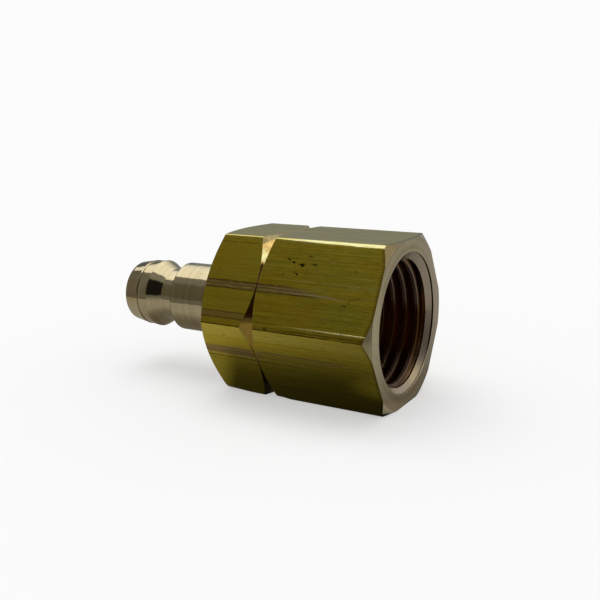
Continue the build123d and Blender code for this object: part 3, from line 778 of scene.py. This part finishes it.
def floor():
    size, turns = 4.0, 96
    ring = [(size * math.cos(2 * math.pi * i / turns), size * math.sin(2 * math.pi * i / turns), -0.00004) for i in range(turns)]
    sheet = bpy.data.meshes.new("studio_floor")
    sheet.from_pydata(ring, [], [list(range(turns))])
    obj = bpy.data.objects.new("studio_floor", sheet)
    bpy.context.scene.collection.objects.link(obj)
    mat = bpy.data.materials.new("floor_matt")
    mat.use_nodes = True
    n = Nodes(mat.node_tree)
    where = n.tree.nodes.new("ShaderNodeTexCoord").outputs["Object"]
    x, y, z = n.separate(where)
    x = n.math("MULTIPLY", x, 1000.0)
    y = n.math("MULTIPLY", y, 1000.0)
    # What the brass mirrors is a shaded table: dark under the hexagon, grey
    # around it, and darker again past the table's edges.
    dx = n.math("MAXIMUM", n.math("SUBTRACT", n.math("ABSOLUTE", n.math("SUBTRACT", x, 9.5)), 11.0), 0.0)
    dy = n.math("MAXIMUM", n.math("SUBTRACT", n.math("ABSOLUTE", y), 5.0), 0.0)
    gap = n.math("SQRT", n.math("MULTIPLY_ADD", dx, dx, n.math("MULTIPLY", dy, dy)))
    gap = n.math("MULTIPLY_ADD", n.math("MAXIMUM", n.math("SUBTRACT", x, 18.75), 0.0), 40.0, gap)
    shade = n.ramp(n.math("DIVIDE", gap, 16.0), [(0.0, 0.08), (0.12, 0.10), (0.22, 0.17), (0.30, 0.32), (0.38, 0.62), (0.44, 0.85), (0.60, 0.97), (1.0, 1.0)])
    lift = n.math("MULTIPLY", n.math("SUBTRACT", -0.4, x), 0.75 / 4.6, clamp=True)
    front = n.math("MULTIPLY", n.math("MULTIPLY", n.math("SUBTRACT", x, 11.0), 0.43 / 5.3, clamp=True), n.step(y, -6.5, -8.5))
    shade = n.math("MAXIMUM", shade, n.math("MAXIMUM", n.math("MINIMUM", lift, 0.75), n.math("MINIMUM", front, 0.43)))
    level = n.math("MULTIPLY_ADD", n.step(x, 15.0, -7.0), 0.14, 0.16)
    level = n.math("MULTIPLY_ADD", n.math("MAXIMUM", n.step(y, 4.0, 16.0), n.math("MULTIPLY", n.step(x, 18.6, 19.6), n.step(y, -14.0, -4.0))), n.math("SUBTRACT", 0.26, level), level)
    beside = n.math("MULTIPLY", n.step(x, 18.0, 19.5), n.math("MULTIPLY", n.step(x, 34.0, 21.0), n.step(y, -3.5, 1.0)))
    level = n.math("MULTIPLY", level, n.math("MULTIPLY_ADD", beside, -0.36, 1.0))
    below = n.math("MULTIPLY", n.step(x, -3.0, -6.0), n.math("MULTIPLY", n.step(x, -24.0, -18.0), n.step(n.math("ABSOLUTE", y), 13.0, 4.0)))
    level = n.math("MULTIPLY", level, n.math("MULTIPLY_ADD", below, -0.5, 1.0))
    edge = n.math("MAXIMUM", n.step(n.math("MULTIPLY_ADD", x, -0.75, n.math("MULTIPLY", y, -0.66)), 49.0, 54.0), n.step(n.math("MULTIPLY_ADD", y, -0.35, x), 50.0, 66.0))
    edge = n.math("MULTIPLY", edge, n.step(y, 14.0, 4.0))
    level = n.math("MULTIPLY_ADD", edge, n.math("SUBTRACT", 0.13, level), level)
    grey = n.math("MULTIPLY", level, shade)
    seen = n.tree.nodes.new("ShaderNodeBsdfDiffuse")
    seen.inputs["Color"].default_value = (0.90, 0.90, 0.90, 1)
    mirrored = n.tree.nodes.new("ShaderNodeEmission")
    n.put(mirrored, "Color", n.combine(grey, grey, n.math("MULTIPLY", grey, 0.97)))
    lifted = n.tree.nodes.new("ShaderNodeEmission")
    lifted.inputs["Color"].default_value = (PALE, PALE, PALE, 1)
    soft = n.tree.nodes.new("ShaderNodeMixShader")
    soft.inputs[0].default_value = 0.45
    n.put(soft, 1, seen.outputs[0])
    n.put(soft, 2, lifted.outputs[0])
    path = n.tree.nodes.new("ShaderNodeLightPath")
    both = n.tree.nodes.new("ShaderNodeMixShader")
    n.put(both, 0, path.outputs["Is Glossy Ray"])
    n.put(both, 1, soft.outputs[0])
    n.put(both, 2, mirrored.outputs[0])
    out = n.tree.nodes.new("ShaderNodeOutputMaterial")
    n.tree.links.new(both.outputs[0], out.inputs[0])
    mat.cycles.emission_sampling = "NONE"
    sheet.materials.append(mat)


floor()


# ---------------------------------------------------------------- light

def studio():
    world = bpy.data.worlds.new("studio")
    bpy.context.scene.world = world
    world.use_nodes = True
    world.cycles.sampling_method = "NONE"
    n = Nodes(world.node_tree)
    way = n.tree.nodes.new("ShaderNodeTexCoord").outputs["Generated"]
    x, y, z = n.separate(way)
    turn = n.math("MULTIPLY_ADD", n.math("ARCTAN2", y, x), 0.5 / math.pi, 0.5)

    def sine(degrees):
        return math.sin(math.radians(degrees))

    def around(stops):
        return n.ramp(turn, [((a + 180) / 360, v) for a, v in stops])

    def towards(a, b, c):
        size = math.sqrt(a * a + b * b + c * c)
        node = n.tree.nodes.new("ShaderNodeVectorMath")
        node.operation = "DOT_PRODUCT"
        n.put(node, 0, way)
        node.inputs[1].default_value = (a / size, b / size, c / size)
        return node.outputs["Value"]

    # the walls: azimuth 0 is along +X, 90 along +Y
    low = around([(-180, .13), (-165, .15), (-150, .15), (-137, (.104, .10, .082)), (-118, (.080, .074, .052)), (-100, (.042, .039, .027)), (-88, .05), (-79, .05), (-76, .010), (-51, .010), (-48, .08), (-10, .10), (10, .10), (20, .18),
                  (30, (.40, .38, .31)), (42, (.47, .45, .38)), (52, .35), (90, .29), (110, (.212, .238, .272)), (127, (.212, .238, .272)), (140, (.11, .12, .13)), (165, .08), (180, .13)])
    middle = around([(-180, .19), (-150, .18), (-135, .15), (-105, .13), (-90, .19), (-30, .20), (20, .25), (60, .28), (90, .42), (120, .46),
                     (150, .48), (170, .3), (180, .19)])
    tall = n.math("MULTIPLY", band(n, turn, (180 - 82) / 360, (180 - 30) / 360, 0.01), -0.12)
    room = n.mix(n.step(n.math("ADD", z, tall), sine(37), sine(43)), low, middle)
    room = n.mix(n.step(z, sine(48), sine(60)), room, (0.22, 0.22, 0.23))
    # a wide softbox overhead, and a lamp low on the right
    over = n.math("MAXIMUM", z, 0.05)
    a = n.math("DIVIDE", n.math("ADD", n.math("DIVIDE", x, over), 0.30), 1.22)
    b = n.math("SUBTRACT", n.math("DIVIDE", y, over), 0.70)
    b = n.math("ADD", n.math("DIVIDE", n.math("MINIMUM", b, 0.0), 1.0), n.math("DIVIDE", n.math("MAXIMUM", b, 0.0), 1.5))
    disc = n.math("MULTIPLY_ADD", a, a, n.math("MULTIPLY", b, b))
    box = n.math("MULTIPLY", n.step(disc, 1.04, 0.96), n.step(z, 0.2, 0.45))
    glow = n.ramp(n.math("MULTIPLY_ADD", n.math("DIVIDE", y, over), 0.25, 0.25), [(0.0, (0.98, 1.0, 1.04)), (0.42, (1.0, 1.04, 1.10)), (0.62, (0.55, 0.58, 0.62)), (0.75, (0.36, 0.38, 0.41))])
    room = n.mix(box, room, glow)
    lamp = n.step(towards(0.79, 0.50, 0.36), math.cos(math.radians(10.5)), math.cos(math.radians(6)))
    lamp = n.math("MULTIPLY", lamp, n.step(z, sine(25), sine(18.5)))
    room = n.mix(lamp, room, (1.05, 1.0, 0.92))

    path = n.tree.nodes.new("ShaderNodeLightPath")
    plain = n.mix(path.outputs["Is Camera Ray"], (0.80, 0.80, 0.80), (PALE, PALE, PALE))
    back = n.tree.nodes.new("ShaderNodeBackground")
    n.put(back, "Color", n.mix(path.outputs["Is Glossy Ray"], plain, room))
    out = n.tree.nodes.new("ShaderNodeOutputWorld")
    n.tree.links.new(back.outputs[0], out.inputs[0])

    lamp = bpy.data.lights.new("softbox", "SUN")
    lean = Vector((-0.28, 0.16, 0.94)).normalized()
    # together with the room's light this brings the floor to the backdrop's tone
    lamp.energy = (PALE / 0.90 - 0.80) * math.pi / lean.z
    lamp.angle = math.radians(50)
    obj = bpy.data.objects.new("softbox", lamp)
    obj.rotation_euler = lean.to_track_quat("Z", "Y").to_euler()
    obj.visible_glossy = False
    bpy.context.scene.collection.objects.link(obj)


studio()


# ---------------------------------------------------------------- camera

def camera():
    az, el, roll = 0.5651295, 0.1766843, -0.0146610
    dist, focal = 103.0927, 845.725            # millimetres, pixels of a 600-pixel frame
    back = Vector((math.sin(az) * math.cos(el), -math.cos(az) * math.cos(el), math.sin(el)))
    right = (-back).cross(Vector((0, 0, 1))).normalized()
    up = right.cross(-back)
    target = Vector((HALF - 0.8 * 19, 0, AXIS_Z)) + right * (-0.2555836 * 19) + up * (0.2808450 * 19)
    place = (target + back * dist) * MM
    r2 = right * math.cos(roll) + up * math.sin(roll)
    u2 = -right * math.sin(roll) + up * math.cos(roll)
    data = bpy.data.cameras.new("camera")
    data.sensor_fit = "HORIZONTAL"
    data.sensor_width = 36
    data.lens = focal / 600 * 36
    data.shift_x = (300 - 250) / 600
    data.shift_y = (265 - 300) / 600
    data.clip_start = 0.005
    data.clip_end = 30
    obj = bpy.data.objects.new("camera", data)
    turn = Matrix((r2, u2, back)).transposed()
    obj.matrix_world = Matrix.Translation(place) @ turn.to_4x4()
    bpy.context.scene.collection.objects.link(obj)
    bpy.context.scene.camera = obj


camera()
bpy.context.scene.view_settings.view_transform = "Standard"
bpy.context.scene.view_settings.look = "None"
